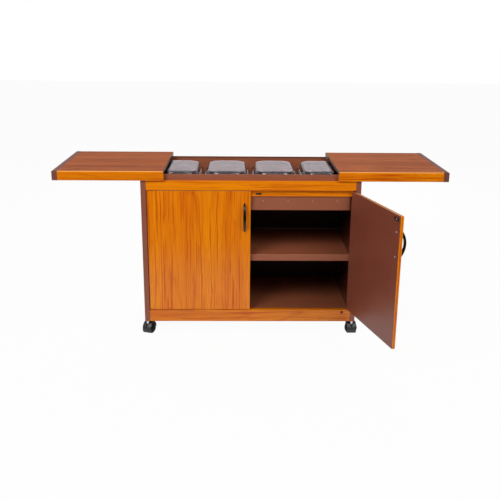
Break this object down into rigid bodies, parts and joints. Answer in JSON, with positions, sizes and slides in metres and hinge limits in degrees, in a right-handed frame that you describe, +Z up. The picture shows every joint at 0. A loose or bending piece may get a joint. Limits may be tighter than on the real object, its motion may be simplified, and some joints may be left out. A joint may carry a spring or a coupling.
{
  "type": "food warmer trolley",
  "caption": "Wheeled buffet trolley with a heated cupboard behind two doors, a dish well with glass dishes on top and wooden tops that slide out to the sides.",
  "frame": {"origin": "on the floor under the middle of the cabinet's footprint", "axes": "+X to the right along the sliding tops, +Y to the back, +Z up; the doors face -Y"},
  "size_m": [1.634, 0.9165, 0.7275],
  "materials": {
    "teak_veneer": "satin",
    "top_laminate": "satin",
    "brown_board": "satin",
    "brown_enamel": "satin",
    "dark_enamel": "satin",
    "brown_moulding": "satin",
    "edge_trim": "satin",
    "nylon": "matte",
    "black_handle": "gloss",
    "black_fittings": "satin",
    "plated_steel": "satin",
    "bright_steel": "polished",
    "element_steel": "satin",
    "clear_glass": "polished",
    "lamp_lens": "gloss",
    "castor_black": "satin",
    "castor_wheel": "satin",
    "electric_plastic": "matte",
    "lead_cover": "matte"
  },
  "bodies": {
    "cabinet": {"corner_posts": "brown_enamel", "post_caps": "brown_moulding", "castor_stems": "bright_steel", "left_side_panel": "teak_veneer", "right_side_panel": "teak_veneer", "back_panel": "brown_board", "top_rail": "teak_veneer", "bottom_rail": "teak_veneer", "side_liners": "dark_enamel", "door_stop_lath": "teak_veneer", "magnetic_catches": "black_fittings", "cupboard_floor": "brown_enamel", "shelf": "brown_enamel", "shelf_pins": "plated_steel", "dish_well": "brown_enamel", "dish_bars": "plated_steel", "well_screws": "plated_steel", "heating_element": "element_steel", "thermostat": "plated_steel", "terminal_box": "electric_plastic", "leads": "lead_cover", "pilot_lamp": "lamp_lens", "cord_gland": "electric_plastic", "pivot_pins": "plated_steel", "dish_1": "clear_glass", "lid_1": "clear_glass", "dish_4": "clear_glass", "lid_4": "clear_glass"},
    "left_top": {"left_top_board": "top_laminate", "left_aprons": "teak_veneer", "left_end_moulding": "brown_moulding", "left_inner_trim": "edge_trim", "left_runners": "nylon"},
    "right_top": {"right_top_board": "top_laminate", "right_aprons": "teak_veneer", "right_end_moulding": "brown_moulding", "right_inner_trim": "edge_trim", "right_runners": "nylon"},
    "left_door": {"left_door": "teak_veneer", "left_handle": "black_handle", "left_door_screws": "plated_steel", "left_strike_plate": "black_fittings", "left_pivot_plates": "plated_steel"},
    "right_door": {"right_door": "teak_veneer", "right_handle": "black_handle", "right_door_screws": "plated_steel", "right_strike_plate": "black_fittings", "right_pivot_plates": "plated_steel"},
    "inner_left_dish": {"dish_2": "clear_glass"},
    "inner_left_lid": {"lid_2": "clear_glass"},
    "inner_right_dish": {"dish_3": "clear_glass"},
    "inner_right_lid": {"lid_3": "clear_glass"},
    "front_left_castor": {"front_left_castor_hood": "castor_black"},
    "front_left_wheels": {"front_left_castor_wheels": "castor_wheel"},
    "front_right_castor": {"front_right_castor_hood": "castor_black"},
    "front_right_wheels": {"front_right_castor_wheels": "castor_wheel"},
    "rear_left_castor": {"rear_left_castor_hood": "castor_black"},
    "rear_left_wheels": {"rear_left_castor_wheels": "castor_wheel"},
    "rear_right_castor": {"rear_right_castor_hood": "castor_black"},
    "rear_right_wheels": {"rear_right_castor_wheels": "castor_wheel"}
  },
  "joints": [
    {"name": "left_top_slide", "type": "slide", "parent": "cabinet", "child": "left_top", "axis": [1, 0, 0], "range_m": [0, 0.359]},
    {"name": "right_top_slide", "type": "slide", "parent": "cabinet", "child": "right_top", "axis": [-1, 0, 0], "range_m": [0, 0.359]},
    {"name": "left_door_hinge", "type": "hinge", "parent": "cabinet", "child": "left_door", "pos_m": [-0.43, -0.231, 0.382], "axis": [0, 0, -1], "range_deg": [0, 105.5]},
    {"name": "right_door_hinge", "type": "hinge", "parent": "cabinet", "child": "right_door", "pos_m": [0.43, -0.231, 0.382], "axis": [0, 0, 1], "range_deg": [-105.5, 0]},
    {"name": "inner_left_dish_lift", "type": "slide", "parent": "cabinet", "child": "inner_left_dish", "axis": [0, 0, 1], "range_m": [0, 0.15]},
    {"name": "inner_left_lid_lift", "type": "slide", "parent": "inner_left_dish", "child": "inner_left_lid", "axis": [0, 0, 1], "range_m": [0, 0.12]},
    {"name": "inner_right_dish_lift", "type": "slide", "parent": "cabinet", "child": "inner_right_dish", "axis": [0, 0, 1], "range_m": [0, 0.15]},
    {"name": "inner_right_lid_lift", "type": "slide", "parent": "inner_right_dish", "child": "inner_right_lid", "axis": [0, 0, 1], "range_m": [0, 0.12]},
    {"name": "front_left_castor_swivel", "type": "hinge", "parent": "cabinet", "child": "front_left_castor", "pos_m": [-0.447, -0.224, 0.05], "axis": [0, 0, 1], "continuous": true},
    {"name": "front_left_wheel_spin", "type": "hinge", "parent": "front_left_castor", "child": "front_left_wheels", "pos_m": [-0.44221, -0.21084, 0.025], "axis": [0.9397, -0.342, 0], "continuous": true},
    {"name": "front_right_castor_swivel", "type": "hinge", "parent": "cabinet", "child": "front_right_castor", "pos_m": [0.447, -0.224, 0.05], "axis": [0, 0, 1], "continuous": true},
    {"name": "front_right_wheel_spin", "type": "hinge", "parent": "front_right_castor", "child": "front_right_wheels", "pos_m": [0.44676, -0.21, 0.025], "axis": [0.9998, 0.0175, 0], "continuous": true},
    {"name": "rear_left_castor_swivel", "type": "hinge", "parent": "cabinet", "child": "rear_left_castor", "pos_m": [-0.447, 0.224, 0.05], "axis": [0, 0, 1], "continuous": true},
    {"name": "rear_left_wheel_spin", "type": "hinge", "parent": "rear_left_castor", "child": "rear_left_wheels", "pos_m": [-0.45062, 0.23752, 0.025], "axis": [0.9659, 0.2588, 0], "continuous": true},
    {"name": "rear_right_castor_swivel", "type": "hinge", "parent": "cabinet", "child": "rear_right_castor", "pos_m": [0.447, 0.224, 0.05], "axis": [0, 0, 1], "continuous": true},
    {"name": "rear_right_wheel_spin", "type": "hinge", "parent": "rear_right_castor", "child": "rear_right_wheels", "pos_m": [0.44943, 0.23779, 0.025], "axis": [0.9848, -0.1736, 0], "continuous": true}
  ]
}
